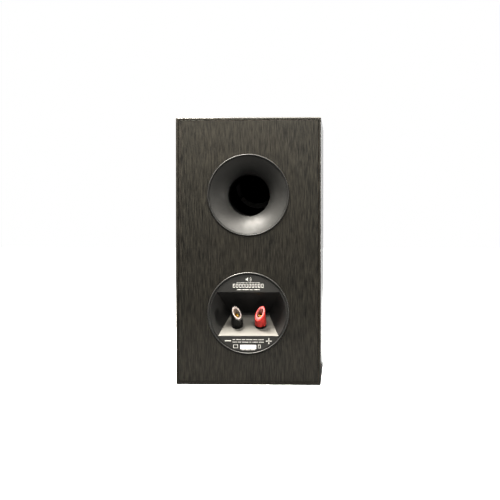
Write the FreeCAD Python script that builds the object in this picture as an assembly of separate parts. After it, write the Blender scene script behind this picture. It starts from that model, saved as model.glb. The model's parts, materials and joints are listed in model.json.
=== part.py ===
"""Two-way bookshelf loudspeaker with a rear port and a recessed terminal cup, in millimetres.

The origin is the middle of the footprint, +Z is up, the drivers face -Y and the terminals face +Y.
"Depth" below is measured inwards from the nearest face: from the baffle for the drivers, and from
the rear face for the port and the terminal cup. Seen from behind, +X is on the left.
"""

import FreeCAD
import Part
import math
import os

V = FreeCAD.Vector
X, Y, Z = V(1, 0, 0), V(0, 1, 0), V(0, 0, 1)

# Cabinet. The surround stands proud of the baffle and the beads of the rear face, and the
# origin is midway between those two.
WIDTH, DEPTH, HEIGHT = 184.0, 256.0, 339.0
SURROUND_PROUD, BEAD_H = 3.8, 1.2
FRONT = (SURROUND_PROUD - BEAD_H - DEPTH) / 2
REAR = FRONT + DEPTH
BOARD = 15.0            # side, top, bottom and rear boards
BAFFLE = 18.0
WRAP_EDGE = 3.0         # lip of the folded boards left showing round the rear panel
SEAM = 0.2              # gap between that lip and the rear panel
EDGE_ROUND = 1.0
BAFFLE_ROUND = 2.5
INNER_WIDTH = WIDTH - 2 * BOARD
INNER_FRONT, INNER_REAR = FRONT + BAFFLE, REAR - BOARD

# Rear fittings: the port and the terminal cup share one flange size
PORT_Z, CUP_Z = 240.7, 90.7
FLANGE_R, FLANGE_T = 52.2, 4.5
FITTING_HOLE_R = 48.4
BEAD_W = 2.2
GASKET_T = 0.5
REBATE_DEPTH = FLANGE_T + GASKET_T
REBATE_R = FLANGE_R + 0.2

# Port
THROAT_R = 26.4
FLARE_R = 49.6          # where the trumpet flare starts, inside the bead
FLARE_SLOPE, THROAT_SLOPE = math.radians(18), math.radians(52)  # of the flare at its two ends
THROAT_ROUND = 3.0      # of the edge between the flare and the bore
PORT_WALL = 2.5
PORT_LENGTH = 130.0

# Terminal cup: a wedge-shaped recess whose lower face carries the posts
RECESS_R = 48.0
RECESS_TOP, RECESS_LOW = 26.8, -28.8        # heights about the cup's centre
FOLD_LOW, FOLD_HIGH, FOLD_HALF = -4.2, -1.2, 25.5
POST_TILT = math.radians(54)                # of the posts' axes above the horizontal
RECESS_DEPTH = (FOLD_LOW - RECESS_LOW) * math.tan(POST_TILT)
CUP_WALL, CUP_FLOOR = 2.4, 3.0

# Binding posts, with heights along the post's axis from the recess's floor
POST_SPACING = 30.0
POST_UP = 12.3                              # of the post's foot above the floor's lower edge
STUD_R, STUD_TOP, STUD_END = 3.0, 17.7, -14.0
SOCKET_R, SOCKET_LENGTH = 2.05, 12.0
THREAD_PITCH, THREAD_DEPTH = 0.8, 0.3
COLLAR_R, COLLAR_T = 7.2, 1.5
CLAMP_R, CLAMP_T = 5.6, 1.0
KNOB_R, KNOB_TIP_R, KNOB_TIP = 7.5, 6.1, 28.4
KNOB_CUT_AT, KNOB_CUT_SLOPE = 20.6, 1.2     # the oblique end crosses the axis here, this steeply
KNOB_TURN = math.radians(45)                # of the knob's long side, outwards from the top
SLEEVE_R, SLEEVE_BORE = 5.7, 3.9
INSERT_R, INSERT_BORE, INSERT_TOP = 4.8, 3.05, 12.0
CLAMP_GAP = 0.05                            # under the knob
KNOB_FOOT = COLLAR_T + CLAMP_T + CLAMP_GAP
HOLE_CLEARANCE = 0.1

# Woofer
WOOFER_Z = 116.0
BASKET_R, BASKET_T, BASKET_PROUD = 73.0, 5.0, 1.0
WOOFER_CUT_R = 65.0
LEDGE, SHELF = 1.2, 33.0                    # depths of the surround's ledge and the spider's shelf
ROLL_R, ROLL_HALF = 55.2, SURROUND_PROUD + LEDGE
CONE_R, CONE_EDGE, CONE_NECK, CONE_T = 50.3, 46.5, 24.0, 1.2
CONE_BOW = (31.5, 9.6)                      # a point midway down the curved cone
COIL_R, POLE_R, GAP_R = 13.2, 12.3, 14.2
GLUE = 0.05
MOTOR = 44.0                                # depth where the basket ends and the motor begins
TOP_PLATE_T, MAGNET_T, YOKE_T = 6.0, 16.0, 6.0
MAGNET_R = 45.0
WOOFER_SCREWS, WOOFER_SCREW_CIRCLE = 6, 68.5
STRIP_BACK, SPADE_HEIGHT, SPADE_SPACING = 34.6, -57.5, 16.0
WOOFER_SPADE, TWEETER_SPADE = (4.8, 8.0), (2.8, 7.0)            # widths and lengths

# Tweeter
TWEETER_Z = 256.0
FACEPLATE_R, FACEPLATE_T = 52.0, 4.5
TWEETER_CUT_R = 36.0
DOME_R, DOME_H = 13.0, 5.6
DOME_DEPTH = 9.0                            # of the dome's rim
TWEETER_PLATE, TWEETER_MAGNET, TWEETER_YOKE = 9.9, 12.9, 22.9   # depths where each begins
TWEETER_CHAMBER, TWEETER_BACK = 26.9, 44.0
TWEETER_SCREWS, TWEETER_SCREW_CIRCLE = 4, 46.5

# Crossover board on the cabinet's floor
PCB_X, PCB_Y, PCB_T, PCB_MIDDLE_Y = 120.0, 90.0, 1.6, 12.0
PCB_BOTTOM = BOARD + 8.0
PCB_TOP = PCB_BOTTOM + PCB_T

WIRE_R = 1.2


# ---------------------------------------------------------------- helpers

def outline(start, *steps):
    """Closed wire in the XY plane. A step is a point, or (middle, end) for an arc."""
    edges = []
    here = V(*start)
    for step in steps + (start,):
        if isinstance(step[0], tuple):
            middle, end = V(*step[0]), V(*step[1])
            edges.append(Part.Arc(here, middle, end).toShape())
        else:
            end = V(*step)
            if end.distanceToPoint(here) > 1e-6:
                edges.append(Part.LineSegment(here, end).toShape())
        here = end
    return Part.Wire(edges)


def upright(shape):
    """The same solid with its volume counted positive."""
    return shape.reversed() if shape.Volume < 0 else shape


def turned(start, *steps):
    """Solid of revolution about Y, from an outline of (radius, y)."""
    return upright(Part.Face(outline(start, *steps)).revolve(V(), Y, 360))


def moved(shape, x=0.0, y=0.0, z=0.0):
    copy = shape.copy()
    copy.translate(V(x, y, z))
    return copy


def spun(shape, degrees, axis=Y):
    """Copy of a shape turned about an axis through the origin."""
    copy = shape.copy()
    copy.rotate(V(), axis, degrees)
    return copy


def box(x, y, z):
    """Box from three (low, high) pairs."""
    return Part.makeBox(x[1] - x[0], y[1] - y[0], z[1] - z[0], V(x[0], y[0], z[0]))


def disc(radius, low, high):
    """Cylinder along Y between two values of y."""
    return Part.makeCylinder(radius, high - low, V(0, low, 0), Y)


def pipe(outer, inner, low, high):
    return disc(outer, low, high).cut(disc(inner, low, high))


def hexagon(flats, low, high):
    """Six-sided bar along Y, measured across its flats."""
    corner = flats / math.sqrt(3)
    turns = [math.radians(60 * n) for n in range(7)]
    corners = [V(corner * math.cos(turn), low, corner * math.sin(turn)) for turn in turns]
    return upright(Part.Face(Part.makePolygon(corners)).extrude(V(0, high - low, 0)))


def around(shape, count, first=0.0):
    """Copies of a shape spaced evenly round the Y axis."""
    return [spun(shape, first + 360.0 * n / count) for n in range(count)]


def in_front(shape, height):
    """Places a driver part, made about the Y axis with y as depth, on the baffle."""
    return moved(shape, y=FRONT, z=height)


def at_rear(shape, height):
    """Places a fitting, made about the Y axis with y pointing out of the rear face."""
    return moved(shape, y=REAR, z=height)


def on_floor_of_cup(shape, side):
    """Places a post part, made about the Y axis with y as height, on the recess's floor."""
    tilted = spun(shape, math.degrees(POST_TILT), X)
    depth = POST_UP * math.tan(POST_TILT)
    return moved(tilted, side * POST_SPACING / 2, REAR - depth, CUP_Z + RECESS_LOW + POST_UP)


def arc_point(centre, radius, angle):
    """Point of an arc whose centre lies at a larger radius, angle being the tangent's slope."""
    return (centre[0] - radius * math.sin(angle), centre[1] + radius * math.cos(angle))


def arc_depth(radius, start, middle, end):
    """Depth at a radius of the arc through three (radius, depth) points, bowed to the front."""
    arc = Part.Arc(V(*start), V(*middle), V(*end)).toShape().Curve
    return arc.Center.y - math.sqrt(arc.Radius ** 2 - (radius - arc.Center.x) ** 2)


def cap(radius, height, rim_depth, skin):
    """Thin spherical cap bulging to the front."""
    sphere = (radius ** 2 + height ** 2) / (2 * height)
    centre = rim_depth - height + sphere
    inside = sphere - skin
    inner_rim = math.sqrt(inside ** 2 - (centre - rim_depth) ** 2)
    outer_half, inner_half = math.asin(radius / sphere) / 2, math.asin(inner_rim / inside) / 2
    outer_middle = (sphere * math.sin(outer_half), centre - sphere * math.cos(outer_half))
    inner_middle = (inside * math.sin(inner_half), centre - inside * math.cos(inner_half))
    return turned((0, centre - sphere), (outer_middle, (radius, rim_depth)),
                  (inner_rim, rim_depth), (inner_middle, (0, centre - inside)))


def edges_on(shape, test):
    """Edges of which every corner passes the test."""
    return [e for e in shape.Edges if all(test(v.Point) for v in e.Vertexes)]


def save(node, *shapes):
    solids = [s for shape in shapes for s in shape.Solids]
    assert solids and all(s.isValid() and s.Volume > 0 for s in solids), node
    Part.makeCompound(solids).exportStep("parts/" + node + ".step")


# ---------------------------------------------------------------- cabinet

def wrap():
    """The four folded boards as one tube, with a rebate at the rear for the rear panel."""
    outer = box((-WIDTH / 2, WIDTH / 2), (INNER_FRONT, REAR), (0, HEIGHT))
    long_edges = [e for e in outer.Edges if abs(e.tangentAt(e.FirstParameter).y) > 0.99]
    rear_edges = edges_on(outer, lambda p: p.y > REAR - 0.01)
    outer = outer.makeFillet(EDGE_ROUND, long_edges + rear_edges)
    half = WIDTH / 2 - BOARD
    inner = box((-half, half), (INNER_FRONT, REAR), (BOARD, HEIGHT - BOARD))
    lip = WIDTH / 2 - WRAP_EDGE
    rebate = box((-lip, lip), (INNER_REAR, REAR), (WRAP_EDGE, HEIGHT - WRAP_EDGE))
    return outer.cut(inner).cut(rebate)


def make_wrap_boards():
    """Splits the tube at its mitred corners."""
    tube = wrap()
    half, top = WIDTH / 2, HEIGHT
    wedges = {
        "bottom_panel": [(-half, 0), (half, 0), (0, half)],
        "top_panel": [(-half, top), (half, top), (0, top - half)],
        "left_side_panel": [(-half, 0), (-half, top), (0, top - half), (0, half)],
        "right_side_panel": [(half, 0), (half, top), (0, top - half), (0, half)],
    }
    for node, corners in wedges.items():
        points = [V(x, FRONT, z) for x, z in corners + corners[:1]]
        wedge = upright(Part.Face(Part.makePolygon(points)).extrude(V(0, 2 * DEPTH, 0)))
        save(node, tube.common(wedge))


def make_front_baffle():
    board = box((-WIDTH / 2, WIDTH / 2), (FRONT, INNER_FRONT), (0, HEIGHT))
    face_edges = edges_on(board, lambda p: p.y < FRONT + 0.01)
    corner_edges = [e for e in board.Edges if abs(e.tangentAt(e.FirstParameter).y) > 0.99]
    board = board.makeFillet(BAFFLE_ROUND, face_edges + corner_edges)

    recess = BASKET_T - BASKET_PROUD + 1.0
    relief_start = 9.0
    woofer_hole = disc(BASKET_R + 0.3, -1, recess).fuse(disc(WOOFER_CUT_R, -1, BAFFLE + 1))
    relief = Part.makeCone(WOOFER_CUT_R, WOOFER_CUT_R + 8, BAFFLE - relief_start,
                           V(0, relief_start, 0), Y)
    woofer_hole = woofer_hole.fuse(relief)
    pilot = moved(disc(2.0, recess - 1, recess + 12), x=WOOFER_SCREW_CIRCLE)
    for hole in [woofer_hole] + around(pilot, WOOFER_SCREWS, 30):
        board = board.cut(in_front(hole, WOOFER_Z))

    seat = disc(FACEPLATE_R + 0.2, -1, FACEPLATE_T)
    pilot = moved(disc(1.7, FACEPLATE_T - 1, FACEPLATE_T + 12), x=TWEETER_SCREW_CIRCLE)
    holes = [seat, disc(TWEETER_CUT_R, -1, BAFFLE + 1)] + around(pilot, TWEETER_SCREWS, 45)
    for hole in holes:
        board = board.cut(in_front(hole, TWEETER_Z))
    save("front_baffle", board)


def make_rear_panel():
    half = WIDTH / 2 - WRAP_EDGE - SEAM
    low, high = WRAP_EDGE + SEAM, HEIGHT - WRAP_EDGE - SEAM
    board = box((-half, half), (INNER_REAR, REAR), (low, high))
    board = board.makeChamfer(0.4, edges_on(board, lambda p: p.y > REAR - 0.01))
    for height in (PORT_Z, CUP_Z):
        board = board.cut(at_rear(disc(REBATE_R, -REBATE_DEPTH, 1), height))
        board = board.cut(at_rear(disc(FITTING_HOLE_R, -BOARD - 1, 1), height))
    save("rear_panel", board)
    gasket = pipe(FLANGE_R, FITTING_HOLE_R, -REBATE_DEPTH, -FLANGE_T)
    save("rear_fitting_gaskets", at_rear(gasket, PORT_Z), at_rear(gasket, CUP_Z))


def make_window_brace():
    """Shelf between the woofer and the port, with one window on each side of its cross bar."""
    thickness, rim, bottom = 12.0, 24.0, 192.0
    half = INNER_WIDTH / 2
    middle = (INNER_FRONT + INNER_REAR) / 2
    shelf = box((-half, half), (INNER_FRONT, INNER_REAR), (bottom, bottom + thickness))
    for low, high in ((INNER_FRONT + rim, middle - rim / 2), (middle + rim / 2, INNER_REAR - rim)):
        window = box((-half + rim, half - rim), (low, high), (bottom - 1, bottom + thickness + 1))
        upright_edges = [e for e in window.Edges if abs(e.tangentAt(e.FirstParameter).z) > 0.99]
        shelf = shelf.cut(window.makeFillet(rim / 2, upright_edges))
    save("window_brace", shelf)


def make_damping_pads():
    """Foam glued to the side boards below the brace, and to the top board."""
    thickness, gap = 14.0, 1.0
    half = INNER_WIDTH / 2
    side_z, side_y = (72.0, 186.0), (-50.0, 92.0)
    left = box((-half + 0.1, -half + thickness), side_y, side_z)
    right = box((half - thickness, half - 0.1), side_y, side_z)
    save("side_damping_pads", left, right)
    roof = HEIGHT - BOARD
    top = box((-half + gap, half - gap), (-60.0, 96.0), (roof - thickness, roof - 0.1))
    save("top_damping_pad", top)


# ---------------------------------------------------------------- port

def make_port():
    neck_r = THROAT_R + THROAT_ROUND * (1 - math.sin(THROAT_SLOPE))
    flare_arc = (FLARE_R - neck_r) / (math.sin(THROAT_SLOPE) - math.sin(FLARE_SLOPE))
    centre = (FLARE_R + flare_arc * math.sin(FLARE_SLOPE), -flare_arc * math.cos(FLARE_SLOPE))
    middle = arc_point(centre, flare_arc, (FLARE_SLOPE + THROAT_SLOPE) / 2)
    neck = arc_point(centre, flare_arc, THROAT_SLOPE)
    throat = neck[1] - THROAT_ROUND * math.cos(THROAT_SLOPE)
    round_centre = (THROAT_R + THROAT_ROUND, throat)
    round_middle = arc_point(round_centre, THROAT_ROUND, (THROAT_SLOPE + math.pi / 2) / 2)
    socket_r = THROAT_R + PORT_WALL + 0.1
    socket_outer, stop, socket_end = socket_r + 2.4, throat - 2.0, throat - 16.0
    groove_r = FLANGE_R - BEAD_W

    shell = flare_arc - PORT_WALL
    near_tube = math.asin((centre[0] - socket_outer) / shell)
    near_flange = math.acos((-FLANGE_T - centre[1]) / shell)
    flare = turned(
        (FLANGE_R, -FLANGE_T), (FLANGE_R, 0.1),
        ((FLANGE_R - BEAD_W / 2, BEAD_H), (groove_r, 0.1)),
        (groove_r, -0.6), (FLARE_R, -0.6), (FLARE_R, 0.0),
        (middle, neck), (round_middle, (THROAT_R, throat)),
        (THROAT_R, stop), (socket_r, stop), (socket_r, socket_end),
        (socket_outer, socket_end), arc_point(centre, shell, near_tube),
        (arc_point(centre, shell, (near_tube + near_flange) / 2),
         arc_point(centre, shell, near_flange)),
    )
    save("port_flare", at_rear(flare, PORT_Z))

    # The tube's inner end is flared too, by a smaller radius.
    inner_round, outer_r, end = 10.0, THROAT_R + PORT_WALL, -PORT_LENGTH
    bend = inner_round * math.sqrt(0.5)
    lip_r = THROAT_R + inner_round
    tube = turned(
        (outer_r, stop), (THROAT_R, stop), (THROAT_R, end + inner_round),
        ((lip_r - bend, end + inner_round - bend), (lip_r, end)),
        (lip_r, end + PORT_WALL),
        ((lip_r - bend + PORT_WALL * 0.7, end + inner_round - bend + PORT_WALL * 0.7),
         (outer_r, end + inner_round)),
    )
    save("port_tube", at_rear(tube, PORT_Z))


# ---------------------------------------------------------------- terminal cup

def cup_section(y, radius, low, high):
    """Circle about the cup's centre, cut off flat below and above."""
    low_x, high_x = math.sqrt(radius ** 2 - low ** 2), math.sqrt(radius ** 2 - high ** 2)
    corners = [V(-low_x, y, low), V(low_x, y, low), V(high_x, y, high), V(-high_x, y, high)]
    return Part.Wire([
        Part.LineSegment(corners[0], corners[1]).toShape(),
        Part.Arc(corners[1], V(radius, y, 0), corners[2]).toShape(),
        Part.LineSegment(corners[2], corners[3]).toShape(),
        Part.Arc(corners[3], V(-radius, y, 0), corners[0]).toShape(),
    ])


def fold_section(y, half, low, high):
    """Narrow rectangle where the recess's two sloping faces meet."""
    corners = [V(-half, y, low), V(half, y, low), V(half, y, high), V(-half, y, high)]
    return Part.makePolygon(corners + corners[:1])


def recess_wedge():
    """The recess as a solid that reaches out of the face."""
    front = cup_section(0, RECESS_R, RECESS_LOW, RECESS_TOP)
    back = fold_section(-RECESS_DEPTH, FOLD_HALF, FOLD_LOW, FOLD_HIGH)
    wedge = upright(Part.makeLoft([front, back], True, True))
    return wedge.fuse(upright(Part.Face(front).extrude(V(0, 3, 0))))


def cup_shell():
    """The outside of the cup's walls, inside the cabinet."""
    start = 1.5
    floor_slope = 1 / math.tan(POST_TILT)
    roof_slope = (RECESS_TOP - FOLD_HIGH) / RECESS_DEPTH
    floor_drop = CUP_FLOOR * math.sqrt(1 + floor_slope ** 2)
    roof_lift = CUP_WALL * math.sqrt(1 + roof_slope ** 2)

    def low(depth):
        return RECESS_LOW - floor_drop + floor_slope * depth

    def high(depth):
        return RECESS_TOP + roof_lift - roof_slope * depth

    end = RECESS_DEPTH + CUP_WALL
    front = cup_section(-start, RECESS_R + CUP_WALL - 1.0, low(start), high(start))
    back = fold_section(-end, FOLD_HALF + CUP_WALL * 0.8, low(end), high(end))
    return upright(Part.makeLoft([front, back], True, True))


def make_terminal_cup():
    groove_r, face_r = FLANGE_R - BEAD_W, FLANGE_R - BEAD_W - 0.7
    cup = turned(
        (0, -FLANGE_T), (FLANGE_R, -FLANGE_T), (FLANGE_R, 0.1),
        ((FLANGE_R - BEAD_W / 2, BEAD_H), (groove_r, 0.1)),
        (groove_r, -0.7), (face_r, -0.7), (face_r, 0.0), (0, 0.0),
    )
    cup = at_rear(cup.fuse(cup_shell()).cut(recess_wedge()), CUP_Z)
    hole = disc(STUD_R + HOLE_CLEARANCE, -20, 20)
    for side in (-1, 1):
        cup = cup.cut(on_floor_of_cup(hole, side))
    save("terminal_cup", cup)

    width, height, middle, thickness = 20.5, 5.8, -42.9, 0.15
    label = box((-width / 2, width / 2), (0, thickness), (middle - height / 2, middle + height / 2))
    save("rating_label", at_rear(label, CUP_Z))


# ---------------------------------------------------------------- binding posts

def thread_points(radius, low, high):
    """Zigzag outline of a thread, drawn as parallel grooves."""
    points = []
    count = int((high - low) / THREAD_PITCH)
    for n in range(count):
        crest = low + n * THREAD_PITCH
        points += [(radius, crest), (radius - THREAD_DEPTH, crest + THREAD_PITCH / 2)]
    return points + [(radius, low + count * THREAD_PITCH)]


def post_stud():
    """Threaded stud with a banana socket in its end and a cross hole for bare wire."""
    chamfer, shoulder_r, wire_hole, wire_height = 0.4, 4.35, 1.0, 3.7
    foot = STUD_TOP - SOCKET_LENGTH
    stud = turned(
        (0, STUD_END), (STUD_R - chamfer, STUD_END), (STUD_R, STUD_END + chamfer),
        (STUD_R, 0), (shoulder_r, 0), (shoulder_r, COLLAR_T),
        *thread_points(STUD_R, COLLAR_T, STUD_TOP - 1.2),
        (STUD_R, STUD_TOP - chamfer), (STUD_R - chamfer, STUD_TOP),
        (SOCKET_R, STUD_TOP), (SOCKET_R, foot), (0, foot - 0.6),
    )
    cross = Part.makeCylinder(wire_hole, 20, V(-10, wire_height, 0), X)
    return stud.cut(cross)


def beyond_cut(side):
    """Everything past the oblique end of a knob, whose long side leans outwards."""
    reach = 40.0
    long_side = V(side * math.sin(KNOB_TURN), 0, math.cos(KNOB_TURN))
    normal = (Y - long_side * KNOB_CUT_SLOPE).normalize()
    block = Part.makeBox(2 * reach, 2 * reach, reach, V(-reach, -reach, 0))
    block.Placement = FreeCAD.Placement(V(0, KNOB_CUT_AT, 0), FreeCAD.Rotation(Z, normal))
    return block


def knob():
    """Fluted plastic shell of the knob, before its end is cut."""
    end, soft, skin_start = KNOB_CUT_AT + 12, 0.8, KNOB_FOOT + 1.8
    taper = (KNOB_R - KNOB_TIP_R) / (KNOB_TIP - skin_start)
    end_r = KNOB_R - taper * (end - skin_start)
    shell = turned(
        (INSERT_R, KNOB_FOOT), (KNOB_R - soft, KNOB_FOOT),
        ((KNOB_R - soft * 0.3, KNOB_FOOT + soft * 0.3), (KNOB_R, KNOB_FOOT + soft)),
        (KNOB_R, skin_start), (end_r, end), (SLEEVE_R, end), (SLEEVE_R, INSERT_TOP),
        (INSERT_R, INSERT_TOP),
    )
    flutes, flute_r, flute_end = 14, 1.0, 12.5
    flute = moved(disc(flute_r, KNOB_FOOT + 1.4, flute_end), x=KNOB_R + flute_r * 0.45)
    for groove in around(flute, flutes):
        shell = shell.cut(groove)
    return shell


def make_binding_posts():
    """Both posts, and the knobs, which are mirror images in how their ends are turned."""
    seam_turn = 10.0    # keeps the round parts' seams out of the planes through X and the axis
    stud, shell = spun(post_stud(), seam_turn), spun(knob(), seam_turn)
    collar = spun(pipe(COLLAR_R, 4.4, 0, COLLAR_T), seam_turn)
    clamp = pipe(CLAMP_R, STUD_R + HOLE_CLEARANCE, COLLAR_T, COLLAR_T + CLAMP_T)
    clamp = spun(clamp, seam_turn)
    insert = spun(pipe(INSERT_R, INSERT_BORE, KNOB_FOOT, INSERT_TOP), seam_turn)
    sleeve = pipe(SLEEVE_R - 0.03, SLEEVE_BORE, INSERT_TOP, KNOB_CUT_AT + 12)
    sleeve = spun(sleeve, seam_turn)
    for colour, side in (("black", 1), ("red", -1)):
        past = beyond_cut(side)
        save(colour + "_post_stud", on_floor_of_cup(stud, side))
        save(colour + "_clamp_washer", on_floor_of_cup(clamp, side))
        save(colour + "_knob_insert", on_floor_of_cup(insert, side))
        save(colour + "_knob", on_floor_of_cup(shell.cut(past), side))
        save(colour + "_knob_sleeve", on_floor_of_cup(sleeve.cut(past), side))
    save("post_collars", *[on_floor_of_cup(collar, side) for side in (1, -1)])


def make_post_fixings():
    """Washer, solder tag and nut of each post, inside the cabinet."""
    washer_t, tag_t, nut_t, nut_flat = 1.2, 0.8, 4.0, 10.0
    back = -CUP_FLOOR
    hole = STUD_R + HOLE_CLEARANCE
    washer = pipe(6.2, hole, back - washer_t, back)
    tag_top = back - washer_t
    tag = disc(5.0, tag_top - tag_t, tag_top).fuse(box((-2.4, 2.4), (tag_top - tag_t, tag_top),
                                                       (0, 13.0)))
    tag = tag.cut(disc(hole, -30, 0))
    nut_top = tag_top - tag_t
    nut = hexagon(nut_flat, nut_top - nut_t, nut_top).cut(disc(hole, -30, 0))
    both = (1, -1)
    save("post_inner_washers", *[on_floor_of_cup(washer, side) for side in both])
    save("post_solder_tags", *[on_floor_of_cup(tag, side) for side in both])
    save("post_nuts", *[on_floor_of_cup(nut, side) for side in both])


# ---------------------------------------------------------------- woofer

def make_basket():
    """Cast frame: flange, six ribs, spider shelf and motor plate."""
    face = -BASKET_PROUD
    back = BASKET_T - BASKET_PROUD
    frame = turned(
        (BASKET_R, back), (BASKET_R, face + 0.8),
        ((BASKET_R - 0.25, face + 0.25), (BASKET_R - 0.8, face)),
        (64.9, face), (64.5, LEDGE), (60.5, LEDGE), (60.5, 5.0), (47.5, SHELF - 1.5),
        (47.5, SHELF), (42.0, SHELF), (42.0, SHELF + 2.5), (44.0, SHELF + 2.5),
        (44.0, MOTOR - 2.0), (16.0, MOTOR - 2.0), (16.0, MOTOR), (47.0, MOTOR),
        (47.0, SHELF + 3.0), (50.5, SHELF), (63.8, back),
    )
    window = box((-21.0, 21.0), (8.0, 30.0), (30.0, 75.0))
    vent = box((-13.0, 13.0), (SHELF + 4.0, MOTOR - 3.2), (30.0, 60.0))
    for gap in around(window, 6, 30) + around(vent, 6, 30):
        frame = frame.cut(gap)
    tab = box((-9.0, 9.0), (30.5, STRIP_BACK - 1.6), (-60.0, -49.5))
    frame = frame.fuse(tab).removeSplitter()
    hole = moved(disc(2.2, -5, 10).fuse(disc(3.8, -5, 1.8)), x=WOOFER_SCREW_CIRCLE)
    for cut in around(hole, WOOFER_SCREWS, 30):
        frame = frame.cut(cut)
    save("woofer_basket", in_front(frame, WOOFER_Z))

    gasket = pipe(BASKET_R, WOOFER_CUT_R, back, back + 1.0)
    for cut in around(moved(disc(2.2, 0, 10), x=WOOFER_SCREW_CIRCLE), WOOFER_SCREWS, 30):
        gasket = gasket.cut(cut)
    save("woofer_gasket", in_front(gasket, WOOFER_Z))


def make_driver_screws():
    head = turned((0, -0.8), (3.1, -0.8), ((3.4, -0.7), (3.5, -0.4)), (3.5, 1.8), (1.9, 1.8),
                  (1.9, 15.0), (0, 16.5))
    screw = moved(head.cut(hexagon(3.0, -1, 0.9)), x=WOOFER_SCREW_CIRCLE)
    screws = around(screw, WOOFER_SCREWS, 30)
    save("woofer_screws", *[in_front(s, WOOFER_Z) for s in screws])
    head = turned((0, 0.0), (3.3, 0.0), (3.3, 0.5), (1.6, 2.2), (1.6, 14.0), (0, 15.5))
    screw = moved(head.cut(hexagon(2.5, -1, 1.3)), x=TWEETER_SCREW_CIRCLE)
    screws = around(screw, TWEETER_SCREWS, 45)
    save("tweeter_screws", *[in_front(s, TWEETER_Z) for s in screws])


def cone_front(radius):
    """Depth of the cone's front surface at a radius."""
    return arc_depth(radius, (CONE_EDGE, LEDGE), CONE_BOW, (COIL_R, CONE_NECK))


def make_moving_woofer_parts():
    """Cone, dust cap, coil former and winding."""
    rim_t, middle_r = 1.1, CONE_BOW[0]
    cone = turned(
        (CONE_R, LEDGE), (CONE_EDGE, LEDGE), (CONE_BOW, (COIL_R, CONE_NECK)),
        (COIL_R, CONE_NECK + CONE_T * 1.3),
        ((middle_r, cone_front(middle_r) + CONE_T), (CONE_EDGE - 0.6, LEDGE + rim_t)),
        (CONE_R, LEDGE + rim_t),
    )
    save("woofer_cone", in_front(cone, WOOFER_Z))

    cap_r, cap_h, cap_t = 19.6, 6.4, 0.8
    dust_cap = cap(cap_r, cap_h, cone_front(cap_r), cap_t)
    save("woofer_dust_cap", in_front(dust_cap, WOOFER_Z))

    former_start, winding_start, end, former_t, winding_t = 21.0, 41.0, 53.0, 0.4, 0.6
    former = pipe(COIL_R, COIL_R - former_t, former_start, end)
    winding = pipe(COIL_R + winding_t, COIL_R, winding_start, end)
    save("woofer_coil_former", in_front(former, WOOFER_Z))
    save("woofer_coil_winding", in_front(winding, WOOFER_Z))


def make_suspension():
    """Half-roll surround in front, corrugated spider behind."""
    skin, outer = 0.7, 64.2
    roll_in, roll_out = ROLL_R - ROLL_HALF, ROLL_R + ROLL_HALF
    surround = turned(
        (outer, LEDGE), (roll_out, LEDGE), ((ROLL_R, LEDGE - ROLL_HALF + skin), (roll_in, LEDGE)),
        (CONE_EDGE, LEDGE), (CONE_EDGE, LEDGE - skin), (roll_in - 0.6, LEDGE - skin),
        ((ROLL_R, LEDGE - ROLL_HALF), (roll_out + 0.6, LEDGE - skin)),
        (outer, LEDGE - skin),
    )
    save("woofer_surround", in_front(surround, WOOFER_Z))

    waves, start, end, height, cloth = 8, 16.0, 42.0, 1.1, 0.5
    step = (end - start) / waves
    seat = SHELF - cloth
    lower, upper = [], []
    for n in range(waves):
        sign = 1 if n % 2 else -1
        crest, foot = start + (n + 0.5) * step, start + (n + 1) * step
        lower.append(((crest, SHELF + sign * height - 0.2), (foot, SHELF)))
        crest, foot = end - (n + 0.5) * step, end - (n + 1) * step
        upper.append(((crest, seat + sign * -height - 0.2), (foot, seat)))
    neck, edge = COIL_R + GLUE, 47.0
    spider = turned((neck, SHELF), (start, SHELF), *lower, (edge, SHELF), (edge, seat),
                    (end, seat), *upper, (neck, seat))
    save("woofer_spider", in_front(spider, WOOFER_Z))


def make_woofer_motor():
    plate_end = MOTOR + TOP_PLATE_T
    magnet_end = plate_end + MAGNET_T
    end = magnet_end + YOKE_T
    save("woofer_top_plate", in_front(pipe(40.0, GAP_R, MOTOR, plate_end), WOOFER_Z))
    magnet = turned((MAGNET_R, plate_end + 1), (MAGNET_R, magnet_end - 1),
                    (MAGNET_R - 1, magnet_end), (18.0, magnet_end), (18.0, plate_end),
                    (MAGNET_R - 1, plate_end))
    save("woofer_magnet", in_front(magnet, WOOFER_Z))
    vent = 5.0
    yoke = turned((vent, MOTOR - 0.5), (POLE_R, MOTOR - 0.5), (POLE_R, magnet_end),
                  (40.0, magnet_end), (40.0, end - 1.5), (38.5, end), (vent + 2, end), (vent, end - 2))
    save("woofer_yoke", in_front(yoke, WOOFER_Z))


def spade(width, length, thickness=0.8):
    """Flat spade terminal pointing along +Y, with a hole near its end."""
    blade = box((-width / 2, width / 2), (0, length), (-thickness / 2, thickness / 2))
    tip = Part.makeCylinder(0.8, 4, V(0, length - 3, -2), Z)
    return blade.cut(tip)


def make_driver_terminals():
    """Fibre strip on the basket, and the spade terminals of both drivers."""
    strip = box((-13.0, 13.0), (STRIP_BACK - 1.6, STRIP_BACK), (-62.0, -51.5))
    save("woofer_terminal_strip", in_front(strip, WOOFER_Z))
    places = (-SPADE_SPACING / 2, SPADE_SPACING / 2)
    woofer = [moved(spade(*WOOFER_SPADE), x, STRIP_BACK, SPADE_HEIGHT) for x in places]
    tweeter = [moved(spade(*TWEETER_SPADE), x, TWEETER_BACK, 0) for x in places]
    save("driver_spade_terminals", *[in_front(s, WOOFER_Z) for s in woofer],
         *[in_front(s, TWEETER_Z) for s in tweeter])


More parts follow.
